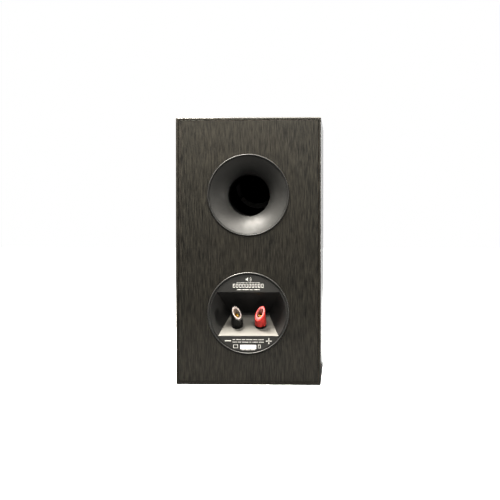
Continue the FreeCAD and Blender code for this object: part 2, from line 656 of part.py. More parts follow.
def make_tinsel_leads():
    """Flexible leads from the back of the cone out to the terminal strip."""
    thickness, start_r = 0.5, 25.0
    start_depth = cone_front(start_r) + CONE_T + 2 * thickness
    leads = []
    for side in (-1, 1):
        points = [V(side * 6.0, start_depth, -math.sqrt(start_r ** 2 - 36)),
                  V(side * 6.5, 25.0, -33.0), V(side * 7.5, 27.5, -46.0),
                  V(side * 8.0, STRIP_BACK - 4.5, -61.2)]
        leads.append(cable(points, thickness))
    save("woofer_tinsel_leads", *[in_front(lead, WOOFER_Z) for lead in leads])


# ---------------------------------------------------------------- tweeter

def make_tweeter_front():
    """Faceplate with its shallow waveguide, dome, surround and coil."""
    mouth, throat_r, throat = 36.0, 15.8, 7.0
    arc = ((mouth - throat_r) ** 2 + throat ** 2) / (2 * throat)
    half_turn = math.asin((mouth - throat_r) / arc) / 2
    middle = (mouth - arc * math.sin(half_turn), arc * (1 - math.cos(half_turn)))
    plate = turned(
        (FACEPLATE_R, FACEPLATE_T), (FACEPLATE_R, 0.6),
        ((FACEPLATE_R - 0.18, 0.18), (FACEPLATE_R - 0.6, 0.0)), (mouth, 0.0),
        (middle, (throat_r, throat)), (throat_r, DOME_DEPTH), (19.0, DOME_DEPTH),
        (19.0, TWEETER_PLATE), (34.0, TWEETER_PLATE), (34.0, FACEPLATE_T),
    )
    hole = moved(turned((0, -1), (3.4, -1), (3.4, 0.5), (1.75, 2.25), (1.75, 6), (0, 6)),
                 x=TWEETER_SCREW_CIRCLE)
    for cut in around(hole, TWEETER_SCREWS, 45):
        plate = plate.cut(cut)
    save("tweeter_faceplate", in_front(plate, TWEETER_Z))

    skin = 0.35
    save("tweeter_dome", in_front(cap(DOME_R, DOME_H, DOME_DEPTH, skin), TWEETER_Z))

    roll_in, roll_out, edge = DOME_R + GLUE, 15.2, 18.0
    crest = (roll_in + roll_out) / 2
    flat = DOME_DEPTH + skin
    surround = turned(
        (roll_in, flat), (roll_in, DOME_DEPTH), ((crest, DOME_DEPTH - 1.0), (roll_out, DOME_DEPTH)),
        (edge, DOME_DEPTH), (edge, flat), (roll_out - 0.2, flat),
        ((crest, DOME_DEPTH - 1.0 + skin), (roll_in + 0.2, flat)),
    )
    save("tweeter_surround", in_front(surround, TWEETER_Z))
    coil = pipe(DOME_R, DOME_R - 0.4, DOME_DEPTH, TWEETER_MAGNET - 0.5)
    save("tweeter_voice_coil", in_front(coil, TWEETER_Z))


def make_tweeter_motor():
    save("tweeter_top_plate", in_front(pipe(32.0, 13.9, TWEETER_PLATE, TWEETER_MAGNET), TWEETER_Z))
    magnet = pipe(34.0, 16.5, TWEETER_MAGNET, TWEETER_YOKE)
    save("tweeter_magnet", in_front(magnet, TWEETER_Z))
    vent, pole = 3.0, 12.3
    yoke = turned((vent, TWEETER_PLATE + 0.2), (pole, TWEETER_PLATE + 0.2), (pole, TWEETER_YOKE),
                  (31.0, TWEETER_YOKE), (31.0, TWEETER_CHAMBER), (vent, TWEETER_CHAMBER))
    save("tweeter_yoke", in_front(yoke, TWEETER_Z))
    outer, wall, soft = 24.0, 2.0, 3.0
    cup = turned(
        (outer, TWEETER_CHAMBER), (outer, TWEETER_BACK - soft),
        ((outer - soft * 0.3, TWEETER_BACK - soft * 0.3), (outer - soft, TWEETER_BACK)),
        (0, TWEETER_BACK), (0, TWEETER_BACK - wall), (outer - wall, TWEETER_BACK - wall),
        (outer - wall, TWEETER_CHAMBER),
    )
    save("tweeter_rear_chamber", in_front(cup, TWEETER_Z))


# ---------------------------------------------------------------- crossover and wiring

def on_floor(shape):
    return moved(shape, y=PCB_MIDDLE_Y)


def make_crossover():
    half_x, half_y, inset = PCB_X / 2, PCB_Y / 2, 6.0
    board = box((-half_x, half_x), (-half_y, half_y), (PCB_BOTTOM, PCB_TOP))
    posts, screws = [], []
    for x in (-half_x + inset, half_x - inset):
        for y in (-half_y + inset, half_y - inset):
            board = board.cut(Part.makeCylinder(1.7, 10, V(x, y, PCB_BOTTOM - 4), Z))
            post = Part.makeCylinder(3.5, PCB_BOTTOM - BOARD, V(x, y, BOARD), Z)
            posts.append(post.cut(Part.makeCylinder(1.5, 20, V(x, y, BOARD), Z)))
            screw = Part.makeCylinder(1.45, 9.0, V(x, y, PCB_TOP - 9.0), Z)
            screws.append(screw.fuse(Part.makeCylinder(2.9, 1.8, V(x, y, PCB_TOP), Z)))
    save("crossover_board", on_floor(board))
    save("crossover_standoffs", *[on_floor(s) for s in posts])
    save("crossover_screws", *[on_floor(s) for s in screws])

    coils = []
    for x, y, outer, inner, height in ((-32, -18, 23, 11, 20), (30, 20, 17, 8, 14)):
        coil = Part.makeCylinder(outer, height, V(x, y, PCB_TOP), Z)
        coils.append(coil.cut(Part.makeCylinder(inner, height, V(x, y, PCB_TOP), Z)))
    save("crossover_coils", *[on_floor(s) for s in coils])

    cans = []
    for x, y, radius, length in ((-28, 16, 8.5, 34), (-28, 34, 6.5, 30), (24, -6, 6.5, 28)):
        can = Part.makeCylinder(radius, length, V(x - length / 2, y, PCB_TOP + radius), X)
        rims = [e for e in can.Edges if e.Closed]
        cans.append(can.makeFillet(1.2, rims))
    save("crossover_capacitors", *[on_floor(s) for s in cans])

    start, length, width, gap = 16.0, 34.0, 9.0, 4.0
    lows = [-40.0, -40.0 + width + gap]
    bars = [box((start, start + length), (low, low + width), (PCB_TOP, PCB_TOP + width))
            for low in lows]
    save("crossover_resistors", *[on_floor(s) for s in bars])


def cable(points, radius):
    """Tube along straight runs joined by arcs as large as the shorter run allows."""
    edges = []
    here = points[0]
    for before, corner, after in zip(points, points[1:], points[2:]):
        back, ahead = before - corner, after - corner
        turn = math.pi - back.getAngle(ahead)
        cut_back = 0.45 * min(back.Length, ahead.Length)
        arc_radius = cut_back / math.tan(turn / 2)
        start = corner + back.normalize() * cut_back
        end = corner + ahead.normalize() * cut_back
        inward = (back + ahead).normalize()
        middle = corner + inward * (arc_radius / math.cos(turn / 2) - arc_radius)
        edges.append(Part.LineSegment(here, start).toShape())
        edges.append(Part.Arc(start, middle, end).toShape())
        here = end
    edges.append(Part.LineSegment(here, points[-1]).toShape())
    path = Part.Wire(edges)
    ring = Part.Wire([Part.makeCircle(radius, points[0], points[1] - points[0])])
    return upright(path.makePipeShell([ring], True, False))


def push_on(width, length):
    """Sleeved connector over a spade terminal that points along +Y."""
    sleeve, play, end = 0.9, 0.05, 1.5
    shell = box((-width / 2 - sleeve, width / 2 + sleeve), (1.0, length + end), (-1.5, 1.5))
    slot = box((-width / 2 - play, width / 2 + play), (0, length + 0.3), (-0.4 - play, 0.4 + play))
    return shell.cut(slot)


def lead(connector, points):
    """Insulated wire that leaves the connector along +Y."""
    start = V(points[0].x, connector.BoundBox.YMax - 0.8, points[0].z)
    return connector.fuse(cable([start] + points[1:], WIRE_R))


def make_wiring():
    """Leads of each colour from its post, to the woofer and to the tweeter."""
    board_top = PCB_TOP + WIRE_R
    board_rear, board_front = PCB_MIDDLE_Y + PCB_Y / 2, PCB_MIDDLE_Y - PCB_Y / 2
    woofer_tip, tweeter_tip = FRONT + STRIP_BACK + WOOFER_SPADE[1], FRONT + TWEETER_BACK + TWEETER_SPADE[1]
    wall_x = INNER_WIDTH / 2 - 19.0
    for colour, side in (("black", 1), ("red", -1)):
        def at(x, y, z):
            return V(side * x, y, z)

        post = cable([at(15, 98.0, 75.2), at(15, 90.8, 80.4), at(15, 85.0, 60.0),
                      at(13, 83.0, 36.0), at(10, board_rear + 4, board_top + 2),
                      at(9, board_rear - 8, board_top)], WIRE_R)
        spade_x = SPADE_SPACING / 2
        spade_z = WOOFER_Z + SPADE_HEIGHT
        connector = moved(push_on(*WOOFER_SPADE), side * spade_x, FRONT + STRIP_BACK, spade_z)
        woofer = lead(connector, [at(spade_x, 0, spade_z), at(spade_x, woofer_tip + 12, spade_z),
                                  at(12, woofer_tip + 26, 50.0), at(12, board_front - 12, 32.0),
                                  at(12, board_front + 4, board_top)])
        connector = moved(push_on(*TWEETER_SPADE), side * spade_x, FRONT + TWEETER_BACK, TWEETER_Z)
        tweeter = lead(connector, [
            at(spade_x, 0, TWEETER_Z), at(spade_x, tweeter_tip + 12, TWEETER_Z),
            at(30, tweeter_tip + 20, TWEETER_Z - 26), at(46, tweeter_tip + 22, 200.0),
            at(50, tweeter_tip + 26, 160.0), at(wall_x, tweeter_tip + 32, 110.0),
            at(wall_x, tweeter_tip + 48, 64.0), at(wall_x, PCB_MIDDLE_Y - 6, 36.0),
            at(wall_x, PCB_MIDDLE_Y + 2, board_top)])
        save(colour + "_wiring", post, woofer, tweeter)


def main():
    os.makedirs("parts", exist_ok=True)
    make_wrap_boards()
    make_front_baffle()
    make_rear_panel()
    make_window_brace()
    make_damping_pads()
    make_port()
    make_terminal_cup()
    make_binding_posts()
    make_post_fixings()
    make_basket()
    make_driver_screws()
    make_moving_woofer_parts()
    make_suspension()
    make_woofer_motor()
    make_driver_terminals()
    make_tinsel_leads()
    make_tweeter_front()
    make_tweeter_motor()
    make_crossover()
    make_wiring()


main()
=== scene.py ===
"""Looks for the bookshelf loudspeaker: camera, light, materials, and the pieces made of mesh.

Lengths are in metres in the CAD frame: +Z up, drivers facing -Y, terminals facing +Y. Every CAD
part has its origin at the frame's origin, so Object texture coordinates are positions in it.
"""

import bmesh
import bpy
import json
import math
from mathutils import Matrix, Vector


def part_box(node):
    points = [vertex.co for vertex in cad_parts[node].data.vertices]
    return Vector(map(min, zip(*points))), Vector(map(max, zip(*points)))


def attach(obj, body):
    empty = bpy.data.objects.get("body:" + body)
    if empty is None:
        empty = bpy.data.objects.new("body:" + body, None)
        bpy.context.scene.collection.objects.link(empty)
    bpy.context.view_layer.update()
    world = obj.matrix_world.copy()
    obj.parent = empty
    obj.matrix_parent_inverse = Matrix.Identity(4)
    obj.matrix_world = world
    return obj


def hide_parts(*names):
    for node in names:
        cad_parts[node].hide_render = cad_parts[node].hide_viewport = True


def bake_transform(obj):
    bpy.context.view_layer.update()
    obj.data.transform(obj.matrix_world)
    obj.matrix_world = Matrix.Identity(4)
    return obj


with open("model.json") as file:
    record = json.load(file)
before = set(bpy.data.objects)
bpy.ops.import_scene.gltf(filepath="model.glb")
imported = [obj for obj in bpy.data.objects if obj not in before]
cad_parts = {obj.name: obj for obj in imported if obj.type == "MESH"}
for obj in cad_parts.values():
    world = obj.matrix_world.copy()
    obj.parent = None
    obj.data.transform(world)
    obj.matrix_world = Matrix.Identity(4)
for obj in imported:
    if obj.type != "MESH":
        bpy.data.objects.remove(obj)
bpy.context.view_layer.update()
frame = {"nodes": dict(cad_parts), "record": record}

MM = 0.001
WIDTH, HEIGHT = 184 * MM, 339 * MM
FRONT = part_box("front_baffle")[0].y
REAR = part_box("rear_panel")[1].y
CUP_Z = 90.7 * MM
WOOFER_Z, TWEETER_Z = 116 * MM, 256 * MM
SHELF_LEAN = math.radians(36)  # how far the cup's sloping shelf faces away from straight up
SHELF_NORMAL = (0, math.sin(SHELF_LEAN), math.cos(SHELF_LEAN))
CONTRAST_GAMMA = 0.62


# ---------------------------------------------------------------- node helpers

def map_range(tree, value, low, high, to_low, to_high):
    """Maps low..high of a value to another range, clamped."""
    node = tree.nodes.new("ShaderNodeMapRange")
    sockets = ("From Min", "From Max", "To Min", "To Max")
    for socket, number in zip(sockets, (low, high, to_low, to_high)):
        node.inputs[socket].default_value = number
    tree.links.new(value, node.inputs["Value"])
    return node.outputs["Result"]


def shaded(colour, share):
    """A colour made darker or lighter all alike."""
    return tuple(c * share for c in colour)


class Surface:
    """A material under construction: its nodes, its links and its Principled shader."""

    def __init__(self, name, colour, roughness, metallic=0.0, specular=0.5):
        self.material = bpy.data.materials.new(name)
        self.material.use_nodes = True
        self.tree = self.material.node_tree
        self.shader = self.tree.nodes["Principled BSDF"]
        self.shader.inputs["Base Color"].default_value = (*colour, 1)
        self.shader.inputs["Roughness"].default_value = roughness
        self.shader.inputs["Metallic"].default_value = metallic
        self.shader.inputs["Specular IOR Level"].default_value = specular
        self.position = self.add("ShaderNodeTexCoord").outputs["Object"]

    def add(self, kind, **settings):
        node = self.tree.nodes.new(kind)
        for name, value in settings.items():
            setattr(node, name, value)
        return node

    def link(self, output, node, socket):
        self.tree.links.new(output, node.inputs[socket])

    def stretched(self, scale):
        """Position scaled by axis, so that a texture read with it is drawn out along some."""
        node = self.add("ShaderNodeMapping")
        node.inputs["Scale"].default_value = scale
        self.link(self.position, node, "Vector")
        return node.outputs["Vector"]

    def drawn_out(self, along, share):
        """Position squeezed to a share along one axis, for grain that runs along it."""
        return self.stretched(tuple(share if axis == along else 1.0 for axis in "XYZ"))

    def noise(self, scale, detail=2.0, vector=None, roughness=0.5):
        """Noise with this many features per metre."""
        node = self.add("ShaderNodeTexNoise")
        node.inputs["Scale"].default_value = scale
        node.inputs["Detail"].default_value = detail
        node.inputs["Roughness"].default_value = roughness
        self.link(vector or self.position, node, "Vector")
        return node.outputs["Fac"]

    def spread(self, value, low, high, to_low=0.0, to_high=1.0):
        return map_range(self.tree, value, low, high, to_low, to_high)

    def math(self, operation, first, second=None):
        """One Math node on numbers or sockets."""
        node = self.add("ShaderNodeMath", operation=operation)
        for index, value in enumerate((first, second)):
            if isinstance(value, (int, float)):
                node.inputs[index].default_value = value
            elif value is not None:
                self.link(value, node, index)
        return node.outputs["Value"]

    def axis(self, name):
        """One coordinate of the position."""
        node = self.add("ShaderNodeSeparateXYZ")
        self.link(self.position, node, "Vector")
        return node.outputs[name]

    def radius(self, height):
        """Distance from the driver axis at this height."""
        up = self.math("SUBTRACT", self.axis("Z"), height)
        across = self.math("POWER", self.axis("X"), 2.0)
        return self.math("SQRT", self.math("ADD", across, self.math("POWER", up, 2.0)))

    def mix(self, factor, first, second):
        """Blend of two colours, each a tuple or a socket."""
        node = self.add("ShaderNodeMix", data_type="RGBA")
        self.link(factor, node, "Factor")
        colour_sockets = [s for s in node.inputs if s.type == "RGBA"]
        for socket, value in zip(colour_sockets, (first, second)):
            if isinstance(value, tuple):
                socket.default_value = (*value, 1)
            else:
                self.tree.links.new(value, socket)
        return next(s for s in node.outputs if s.type == "RGBA")

    def mottled(self, tint):
        """The tint in soft patches, some a little darker and some a little lighter."""
        patches = self.spread(self.noise(45, 3), 0.35, 0.65)
        return self.mix(patches, shaded(tint, 0.86), shaded(tint, 1.12))

    def colour(self, output):
        self.link(output, self.shader, "Base Color")

    def roughness(self, output):
        self.link(output, self.shader, "Roughness")

    def coat(self, weight, roughness):
        """A clear layer over the material."""
        self.shader.inputs["Coat Weight"].default_value = weight
        self.shader.inputs["Coat Roughness"].default_value = roughness

    def bump(self, height, distance, strength=1.0):
        """Adds relief on top of any relief already there."""
        node = self.add("ShaderNodeBump")
        node.inputs["Distance"].default_value = distance
        node.inputs["Strength"].default_value = strength
        self.link(height, node, "Height")
        before = self.shader.inputs["Normal"]
        if before.is_linked:
            self.link(before.links[0].from_socket, node, "Normal")
        self.link(node.outputs["Normal"], self.shader, "Normal")


# ---------------------------------------------------------------- materials

BOARD_DARK, BOARD_LIGHT = (0.3, 0.2, 0.115), (0.42, 0.3, 0.18)


def outer_skin(surface):
    """1 on the cabinet's outside faces and 0 on its raw inside faces and edges."""
    depth = 1.3 * MM
    sides = surface.math("GREATER_THAN", surface.math("ABSOLUTE", surface.axis("X")),
                         WIDTH / 2 - depth)
    rear = surface.math("GREATER_THAN", surface.axis("Y"), REAR - depth)
    half = HEIGHT / 2
    from_middle = surface.math("ABSOLUTE", surface.math("SUBTRACT", surface.axis("Z"), half))
    ends = surface.math("GREATER_THAN", from_middle, half - depth)
    return surface.math("MAXIMUM", surface.math("MAXIMUM", sides, rear), ends)


def black_ash(name, along):
    """Black ash vinyl with its grain along one axis, over raw fibreboard inside."""
    dark, light = (0.0036, 0.0033, 0.0026), (0.0305, 0.0284, 0.0223)
    brown, pore = (0.03, 0.0258, 0.019), (0.004, 0.0038, 0.003)
    s = Surface(name, (0.02, 0.018, 0.015), 0.5, specular=0.4)
    streaks = s.spread(s.noise(680, 3, s.drawn_out(along, 0.085), 0.6), 0.34, 0.68)
    figure = s.spread(s.noise(34, 3, s.drawn_out(along, 0.3), 0.55), 0.3, 0.7)
    pores = s.spread(s.noise(1900, 2, s.drawn_out(along, 0.05)), 0.56, 0.7)
    wood = s.mix(streaks, dark, light)
    wood = s.mix(s.math("MULTIPLY", figure, 0.25), wood, brown)
    wood = s.mix(s.math("MULTIPLY", pores, 0.6), wood, pore)
    fibres = s.spread(s.noise(900, 4), 0.35, 0.65)
    board = s.mix(fibres, BOARD_DARK, BOARD_LIGHT)
    s.colour(s.mix(outer_skin(s), board, wood))
    sheen = s.spread(streaks, 0, 1, 0.46, 0.58)
    s.roughness(s.math("ADD", s.math("MULTIPLY", pores, 0.12), sheen))
    s.bump(s.math("SUBTRACT", streaks, pores), 0.05 * MM, 0.55)
    s.coat(0.8, 0.1)
    return s.material


def satin_black(name, value, roughness, grain):
    """Moulded black plastic with a fine spark-eroded texture."""
    tint = (value, value, value * 0.96)
    s = Surface(name, tint, roughness)
    s.colour(s.mottled(tint))
    s.roughness(s.spread(s.noise(160, 2), 0.3, 0.7, roughness - 0.04, roughness + 0.05))
    s.bump(s.noise(2600, 3), grain, 0.5)
    return s.material


def cup_plastic():
    """The cup's black plastic. The sloping shelf under the posts, picked out by the way it faces,
    is painted paler where the light falls on it (painted light), and has a rougher satin finish.
    """
    tint, painted_light_tint = (0.024, 0.024, 0.023), (0.088, 0.086, 0.08)
    roughness, shelf_roughness = 0.48, 0.74
    s = Surface("cup_plastic", tint, roughness, specular=0.75)
    facing = s.add("ShaderNodeVectorMath", operation="DOT_PRODUCT")
    s.link(s.add("ShaderNodeTexCoord").outputs["Normal"], facing, 0)
    facing.inputs[1].default_value = SHELF_NORMAL
    shelf = s.spread(facing.outputs["Value"], 0.97, 0.995)
    # Painted light: the shelf, which faces the light, is coloured paler than the rest of the cup.
    s.colour(s.mix(shelf, s.mottled(tint), painted_light_tint))
    s.roughness(s.spread(shelf, 0, 1, roughness, shelf_roughness))
    s.bump(s.noise(2600, 3), 0.03 * MM, 0.5)
    return s.material


def baffle_paint():
    """Satin black lacquer on the baffle and the tweeter's faceplate, with a faint orange peel."""
    lacquer, dusty = (0.012, 0.012, 0.0125), (0.06, 0.06, 0.06)
    s = Surface("baffle_satin", lacquer, 0.4)
    dust = s.spread(s.noise(1200, 2), 0.66, 0.72)
    s.colour(s.mix(s.math("MULTIPLY", dust, 0.25), lacquer, dusty))
    s.roughness(s.spread(s.noise(70, 3), 0.3, 0.7, 0.34, 0.46))
    s.bump(s.noise(750, 2), 0.03 * MM, 0.4)
    return s.material


def fibreboard():
    """Raw fibreboard with its matted fibres."""
    s = Surface("fibreboard", (0.36, 0.25, 0.15), 0.85, specular=0.2)
    fibres = s.spread(s.noise(900, 4), 0.35, 0.65)
    s.colour(s.mix(fibres, BOARD_DARK, BOARD_LIGHT))
    s.bump(fibres, 0.1 * MM, 0.4)
    return s.material


def foam(name, colour, cell):
    """Open-cell foam: pitted all over, with painted shade darkening the bottom of each pit."""
    s = Surface(name, colour, 0.95, specular=0.15)
    cells = s.add("ShaderNodeTexVoronoi")
    cells.inputs["Scale"].default_value = 1 / cell
    s.link(s.position, cells, "Vector")
    pit_depth_and_shade = s.spread(cells.outputs["Distance"], 0.1, 0.6)
    # Painted shade: the colour darkens towards the bottom of each pit.
    s.colour(s.mix(pit_depth_and_shade, shaded(colour, 0.45), shaded(colour, 1.2)))
    s.bump(pit_depth_and_shade, cell * 0.35, 0.8)
    return s.material


def paper_label():
    """Off-white label paper."""
    s = Surface("white_label", (0.86, 0.86, 0.84), 0.45)
    s.colour(s.mix(s.noise(500, 3), (0.42, 0.42, 0.43), (0.55, 0.55, 0.55)))
    s.bump(s.noise(1500, 2), 0.01 * MM, 0.3)
    return s.material


def white_ink():
    """Greyish printed ink, worn unevenly."""
    s = Surface("white_ink", (0.34, 0.34, 0.33), 0.55)
    worn = s.spread(s.noise(900, 3), 0.3, 0.7)
    s.colour(s.mix(worn, (0.24, 0.24, 0.23), (0.4, 0.4, 0.39)))
    return s.material


def metal(name, colour, roughness, marks_scale=None):
    """Plated or turned metal with faint tarnish, and fine marks if a scale for them is given."""
    s = Surface(name, colour, roughness, metallic=1.0)
    tarnish = s.spread(s.noise(260, 3), 0.35, 0.7)
    s.colour(s.mix(tarnish, colour, shaded(colour, 0.72)))
    s.roughness(s.spread(s.noise(420, 2), 0.3, 0.7, roughness - 0.05, roughness + 0.1))
    if marks_scale:
        s.bump(s.noise(2400, 2, s.stretched(marks_scale)), 0.02 * MM, 0.35)
    return s.material


def knob_plastic(name, colour, bright):
    """Glossy moulded plastic, clouded between two close colours."""
    s = Surface(name, colour, 0.3)
    s.coat(0.25, 0.2)
    cloud = s.spread(s.noise(240, 3), 0.3, 0.7)
    s.colour(s.mix(cloud, colour, bright))
    s.roughness(s.spread(s.noise(500, 2), 0.3, 0.7, 0.26, 0.4))
    s.bump(s.noise(1500, 2), 0.015 * MM, 0.4)
    return s.material


def sleeve_plastic(name, colour, shade):
    """Milky insulating plastic that lets light into it."""
    s = Surface(name, colour, 0.35)
    s.shader.inputs["Subsurface Weight"].default_value = 0.35
    s.shader.inputs["Subsurface Radius"].default_value = (1.2 * MM, 0.9 * MM, 0.8 * MM)
    s.shader.inputs["Subsurface Scale"].default_value = 1.0
    s.colour(s.mix(s.spread(s.noise(300, 3), 0.3, 0.7), shade, colour))
    s.bump(s.noise(1300, 2), 0.015 * MM, 0.4)
    return s.material


def textured_paint(name):
    """Crinkle black paint of the basket and the screws."""
    s = Surface(name, (0.014, 0.014, 0.0145), 0.48)
    crinkle = s.noise(1500, 4)
    s.colour(s.mix(s.spread(crinkle, 0.3, 0.7), (0.009, 0.009, 0.0095), (0.022, 0.022, 0.023)))
    s.bump(crinkle, 0.06 * MM, 0.6)
    return s.material


def cone_paper():
    """Coated pulp: flecks of fibre, and faint rings from its pressing."""
    s = Surface("coated_paper", (0.022, 0.022, 0.024), 0.6, specular=0.35)
    pulp = s.spread(s.noise(620, 5, roughness=0.65), 0.32, 0.66)
    fibres = s.spread(s.noise(1700, 2, s.stretched((1, 0.3, 0.12))), 0.62, 0.72)
    mixed = s.mix(pulp, (0.014, 0.014, 0.016), (0.034, 0.034, 0.037))
    s.colour(s.mix(s.math("MULTIPLY", fibres, 0.35), mixed, (0.09, 0.09, 0.095)))
    rings = s.math("SINE", s.math("MULTIPLY", s.radius(WOOFER_Z), 2 * math.pi / (2.6 * MM)))
    s.roughness(s.spread(pulp, 0, 1, 0.66, 0.5))
    s.bump(rings, 0.012 * MM, 0.25)
    s.bump(pulp, 0.05 * MM, 0.6)
    return s.material


def rubber(name, value, roughness):
    """Black rubber with patches of dull bloom."""
    grey = (value, value, value)
    s = Surface(name, grey, roughness, specular=0.4)
    bloom = s.spread(s.noise(90, 4), 0.35, 0.75)
    s.colour(s.mix(bloom, shaded(grey, 0.8), shaded(grey, 1.5)))
    s.roughness(s.spread(bloom, 0, 1, roughness - 0.06, roughness + 0.08))
    s.bump(s.noise(1800, 2), 0.02 * MM, 0.4)
    return s.material


def woven(name, thread, dark, light, roughness):
    """Cloth with its threads along the frame's X and Z."""
    s = Surface(name, light, roughness, specular=0.25)
    turns = 2 * math.pi / thread
    across = s.math("SINE", s.math("MULTIPLY", s.axis("X"), turns))
    up = s.math("SINE", s.math("MULTIPLY", s.axis("Z"), turns))
    weave = s.spread(s.math("MULTIPLY", across, up), -1, 1)
    uneven = s.math("ADD", weave, s.spread(s.noise(1400, 3), 0.3, 0.7, -0.25, 0.25))
    s.colour(s.mix(uneven, dark, light))
    s.bump(weave, thread * 0.2, 0.7)
    return s.material


def wound_copper(name, wire, axis):
    """Enamelled wire laid side by side along an axis, with painted shade in the grooves between
    turns.
    """
    s = Surface(name, (0.62, 0.24, 0.1), 0.28, metallic=0.85)
    turns = s.math("SINE", s.math("MULTIPLY", s.axis(axis), 2 * math.pi / wire))
    groove_shade = s.spread(turns, -1, -0.2)
    # Painted shade: the colour darkens in the groove between neighbouring turns.
    s.colour(s.mix(groove_shade, (0.12, 0.04, 0.015), (0.66, 0.27, 0.11)))
    s.bump(turns, wire * 0.3, 0.9)
    return s.material


def ferrite():
    """Sintered magnet with a coarse grain."""
    s = Surface("ferrite", (0.035, 0.035, 0.038), 0.55, specular=0.5)
    grains = s.spread(s.noise(700, 5, roughness=0.7), 0.35, 0.68)
    s.colour(s.mix(grains, (0.022, 0.022, 0.024), (0.075, 0.075, 0.08)))
    s.roughness(s.spread(grains, 0, 1, 0.7, 0.45))
    s.bump(grains, 0.08 * MM, 0.5)
    return s.material


def circuit_board():
    """Green laminate with wide tracks under its lacquer."""
    s = Surface("circuit_board", (0.02, 0.12, 0.05), 0.3)
    field = s.noise(38, 0, s.stretched((1.0, 0.55, 0.0)))
    bands = s.math("SINE", s.math("MULTIPLY", field, 42.0))
    tracks = s.spread(bands, 0.55, 0.62)
    weave = s.spread(s.noise(900, 2), 0.4, 0.6)
    laminate = s.mix(weave, (0.014, 0.09, 0.038), (0.024, 0.135, 0.058))
    s.colour(s.mix(tracks, laminate, (0.05, 0.22, 0.1)))
    s.bump(tracks, 0.04 * MM, 0.5)
    return s.material


def film_capacitor():
    """Yellow tape wound round each can, with its laps as faint bands."""
    s = Surface("film_capacitor", (0.62, 0.36, 0.045), 0.25)
    lap = s.spread(s.noise(260, 2, s.stretched((0.05, 1, 1))), 0.55, 0.6)
    s.colour(s.mix(lap, (0.66, 0.4, 0.05), (0.52, 0.28, 0.03)))
    s.bump(lap, 0.04 * MM, 0.4)
    return s.material


def ceramic():
    """Pale gritty body of the resistors."""
    s = Surface("resistor_ceramic", (0.78, 0.76, 0.71), 0.6)
    grains = s.spread(s.noise(900, 4), 0.3, 0.7)
    s.colour(s.mix(grains, (0.68, 0.66, 0.6), (0.82, 0.8, 0.76)))
    s.bump(grains, 0.05 * MM, 0.5)
    return s.material


def nylon():
    """Milky nylon of the standoffs."""
    s = Surface("nylon", (0.78, 0.76, 0.7), 0.4)
    s.shader.inputs["Subsurface Weight"].default_value = 0.2
    s.shader.inputs["Subsurface Scale"].default_value = 1 * MM
    s.colour(s.mix(s.noise(300, 3), (0.7, 0.68, 0.62), (0.84, 0.82, 0.77)))
    return s.material


def wire_jacket(name, colour):
    """Soft plastic insulation."""
    s = Surface(name, colour, 0.42)
    s.colour(s.mix(s.noise(400, 3), shaded(colour, 0.8), shaded(colour, 1.15)))
    s.bump(s.noise(1200, 2), 0.03 * MM, 0.4)
    return s.material


GOLD, ZINC, TIN = (1.0, 0.82, 0.4), (0.62, 0.62, 0.6), (0.66, 0.64, 0.58)
CLOTH_DARK, CLOTH_LIGHT = (0.3, 0.17, 0.05), (0.62, 0.42, 0.17)

MATERIALS = {
    "black_ash": black_ash("black_ash", "Z"),
    "black_ash_ends": black_ash("black_ash_ends", "Y"),
    "baffle_satin": baffle_paint(),
    "fibreboard": fibreboard(),
    "damping_foam": foam("damping_foam", (0.11, 0.11, 0.12), 0.9 * MM),
    "gasket_foam": foam("gasket_foam", (0.03, 0.03, 0.03), 0.3 * MM),
    "cup_plastic": cup_plastic(),
    "flare_plastic": satin_black("flare_plastic", 0.021, 0.57, 0.03 * MM),
    "tube_plastic": satin_black("tube_plastic", 0.02, 0.5, 0.04 * MM),
    "collar_plastic": satin_black("collar_plastic", 0.012, 0.4, 0.02 * MM),
    "white_label": paper_label(),
    "white_ink": white_ink(),
    "gold_plate": metal("gold_plate", GOLD, 0.22, (1, 1, 1)),
    "black_knob_plastic": knob_plastic("black_knob_plastic", (0.012, 0.012, 0.011),
                                       (0.02, 0.02, 0.018)),
    "red_knob_plastic": knob_plastic("red_knob_plastic", (0.42, 0.055, 0.047), (0.5, 0.09, 0.08)),
    "clear_sleeve_plastic": sleeve_plastic("clear_sleeve_plastic", (0.3, 0.27, 0.26),
                                           (0.2, 0.18, 0.17)),
    "pink_sleeve_plastic": sleeve_plastic("pink_sleeve_plastic", (0.42, 0.2, 0.2),
                                          (0.34, 0.13, 0.13)),
    "zinc_steel": metal("zinc_steel", ZINC, 0.34, (1, 1, 0.1)),
    "tinned_brass": metal("tinned_brass", TIN, 0.3),
    "basket_metal": textured_paint("basket_metal"),
    "black_screw": textured_paint("black_screw"),
    "coated_paper": cone_paper(),
    "cap_plastic": satin_black("cap_plastic", 0.018, 0.5, 0.02 * MM),
    "former_aluminium": metal("former_aluminium", (0.78, 0.78, 0.79), 0.3, (1, 0.05, 1)),
    "copper_wire": wound_copper("copper_wire", 0.3 * MM, "Y"),
    "choke_wire": wound_copper("choke_wire", 1.0 * MM, "Z"),
    "surround_rubber": rubber("surround_rubber", 0.016, 0.46),
    "spider_cloth": woven("spider_cloth", 0.5 * MM, CLOTH_DARK, CLOTH_LIGHT, 0.75),
    "ferrite": ferrite(),
    "tinsel_braid": metal("tinsel_braid", (0.75, 0.5, 0.32), 0.4),
    "dome_silk": woven("dome_silk", 0.3 * MM, (0.009, 0.009, 0.01), (0.03, 0.03, 0.033), 0.5),
    "circuit_board": circuit_board(),
    "nylon": nylon(),
    "film_capacitor": film_capacitor(),
    "resistor_ceramic": ceramic(),
    "black_wire": wire_jacket("black_wire", (0.014, 0.014, 0.014)),
    "red_wire": wire_jacket("red_wire", (0.42, 0.015, 0.012)),
}
SPECIAL = {
    "top_panel": "black_ash_ends",
    "bottom_panel": "black_ash_ends",
    "crossover_coils": "choke_wire",
    "port_flare": "flare_plastic",
}


